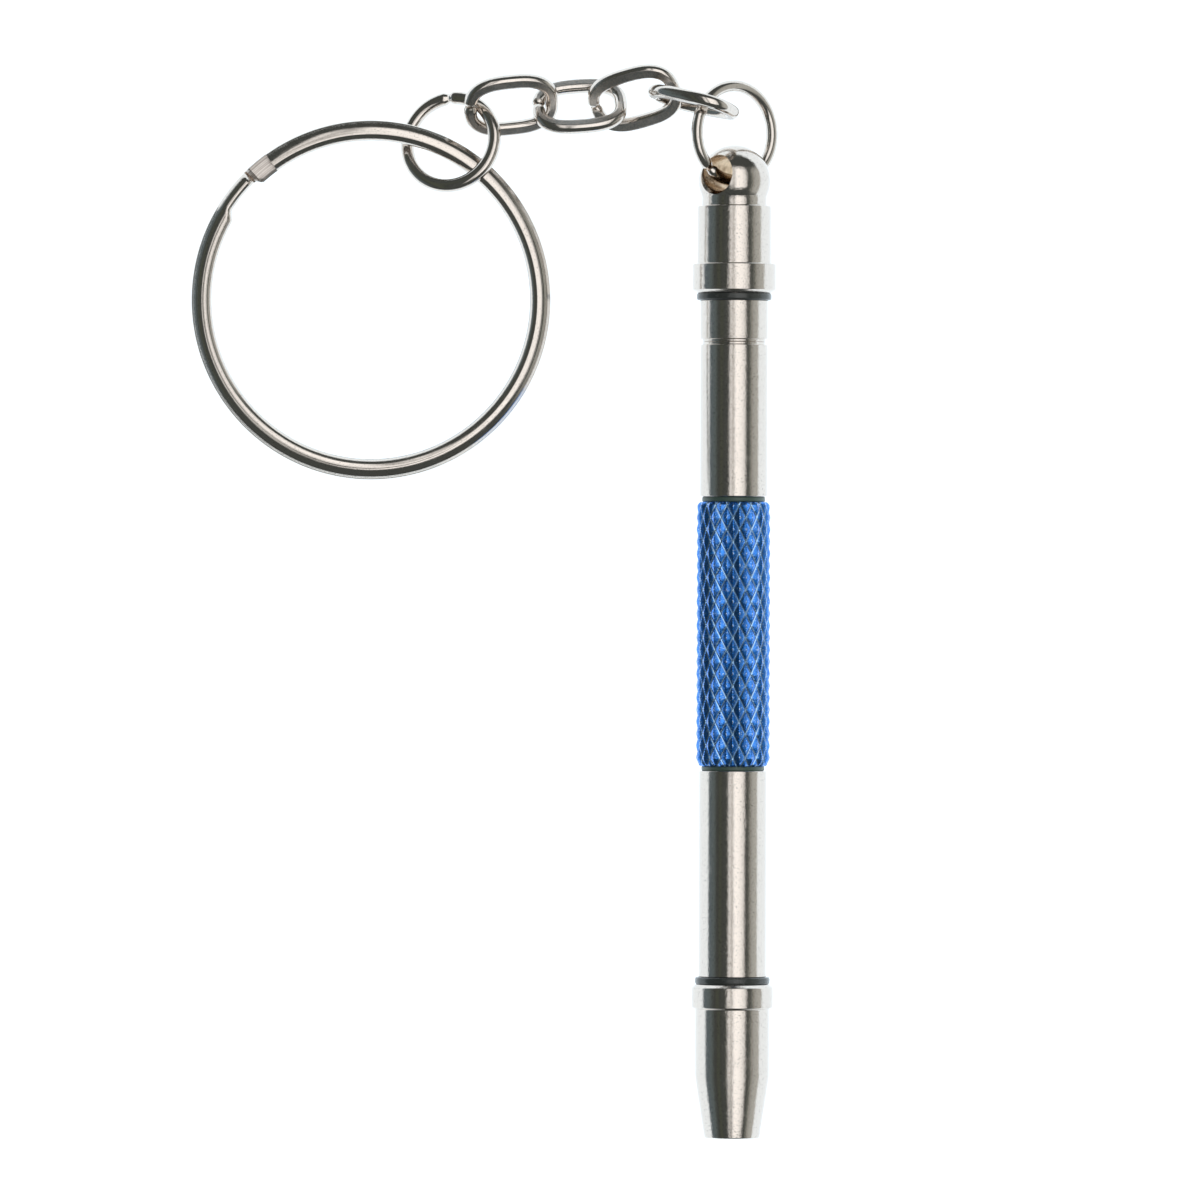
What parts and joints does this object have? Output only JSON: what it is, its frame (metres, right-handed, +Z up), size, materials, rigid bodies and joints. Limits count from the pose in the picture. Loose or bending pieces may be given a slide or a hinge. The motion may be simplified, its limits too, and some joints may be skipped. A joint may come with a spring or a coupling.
{
  "type": "keyring screwdriver",
  "caption": "Pocket screwdriver with a knurled grip, unscrewing end caps, a hexagon socket tip and a curb chain to a split ring.",
  "frame": {"origin": "centre of the hexagon socket tip's end face, on the driver's axis", "axes": "+Y along the driver towards the ball and chain, +Z up from the surface it lies on, +X away from the split ring"},
  "size_m": [0.049, 0.0894, 0.0077],
  "materials": {
    "nickel": "polished nickel plate",
    "blue_anodised": "satin blue anodised, diamond knurl",
    "black_rubber": "moulded, slightly glossy",
    "black_plastic": "moulded",
    "steel": "machined"
  },
  "bodies": {
    "driver": {"core_rod": "steel", "grip_sleeve": "blue_anodised", "lower_tube": "nickel", "upper_tube": "nickel", "lower_washer": "black_plastic", "upper_washer": "black_plastic", "lower_nose": "nickel", "upper_nose": "nickel", "slotted_blade": "steel", "phillips_blade": "steel"},
    "lower_seal": {"lower_o_ring": "black_rubber"},
    "lower_cap": {"socket_cap": "nickel"},
    "upper_seal": {"upper_o_ring": "black_rubber"},
    "ball_cap": {"upper_cap": "nickel"},
    "end_ring": {"end_ring": "nickel"},
    "link_4": {"link_4": "nickel"},
    "link_3": {"link_3": "nickel"},
    "link_2": {"link_2": "nickel"},
    "link_1": {"link_1": "nickel"},
    "ring_link": {"ring_link": "nickel"},
    "split_ring": {"split_ring": "nickel"}
  },
  "joints": [
    {"name": "lower_cap_turn", "type": "hinge", "parent": "driver", "child": "lower_seal", "pos_m": [0, 0.01311, 0], "axis": [0, -1, 0], "range_deg": [0, 3600]},
    {"name": "lower_cap_thread", "type": "slide", "parent": "lower_seal", "child": "lower_cap", "axis": [0, -1, 0], "range_m": [0, 0.008]},
    {"name": "upper_cap_turn", "type": "hinge", "parent": "driver", "child": "upper_seal", "pos_m": [0, 0.07008, 0], "axis": [0, 1, 0], "range_deg": [0, 3600]},
    {"name": "upper_cap_thread", "type": "slide", "parent": "upper_seal", "child": "ball_cap", "axis": [0, 1, 0], "range_m": [0, 0.008]},
    {"name": "ring_swing", "type": "hinge", "parent": "ball_cap", "child": "end_ring", "pos_m": [0, 0.08031, 0], "axis": [0.6, 0, -0.8], "range_deg": [-65, 75]},
    {"name": "link_4_swing", "type": "hinge", "parent": "end_ring", "child": "link_4", "pos_m": [-0.00234, 0.08635, 0.00177], "axis": [-0.5344, -0.7431, 0.4027], "range_deg": [-60, 45]},
    {"name": "link_3_swing", "type": "hinge", "parent": "link_4", "child": "link_3", "pos_m": [-0.00633, 0.08692, -0.00111], "axis": [-0.4768, 0.2244, 0.8499], "range_deg": [-14, 7]},
    {"name": "link_2_swing", "type": "hinge", "parent": "link_3", "child": "link_2", "pos_m": [-0.0115, 0.08578, -0.00192], "axis": [-0.3699, 0.7832, 0.4998], "range_deg": [-65, 50]},
    {"name": "link_1_swing", "type": "hinge", "parent": "link_2", "child": "link_1", "pos_m": [-0.01637, 0.08571, -0.00124], "axis": [-0.082, 0.7552, -0.6503], "range_deg": [-30, 60]},
    {"name": "ring_link_swing", "type": "hinge", "parent": "link_1", "child": "ring_link", "pos_m": [-0.02206, 0.08567, -0.00065], "axis": [-0.0236, 0.8072, 0.5898], "range_deg": [-70, 15]},
    {"name": "split_ring_swing", "type": "hinge", "parent": "ring_link", "child": "split_ring", "pos_m": [-0.02671, 0.0834, -0.00095], "axis": [-0.8241, 0.371, 0.428], "range_deg": [-50, 35]}
  ],
  "couplings": [
    {"joint": "lower_cap_turn", "follows": "lower_cap_thread", "rad_per_m": 7854},
    {"joint": "upper_cap_turn", "follows": "upper_cap_thread", "rad_per_m": 7854}
  ]
}
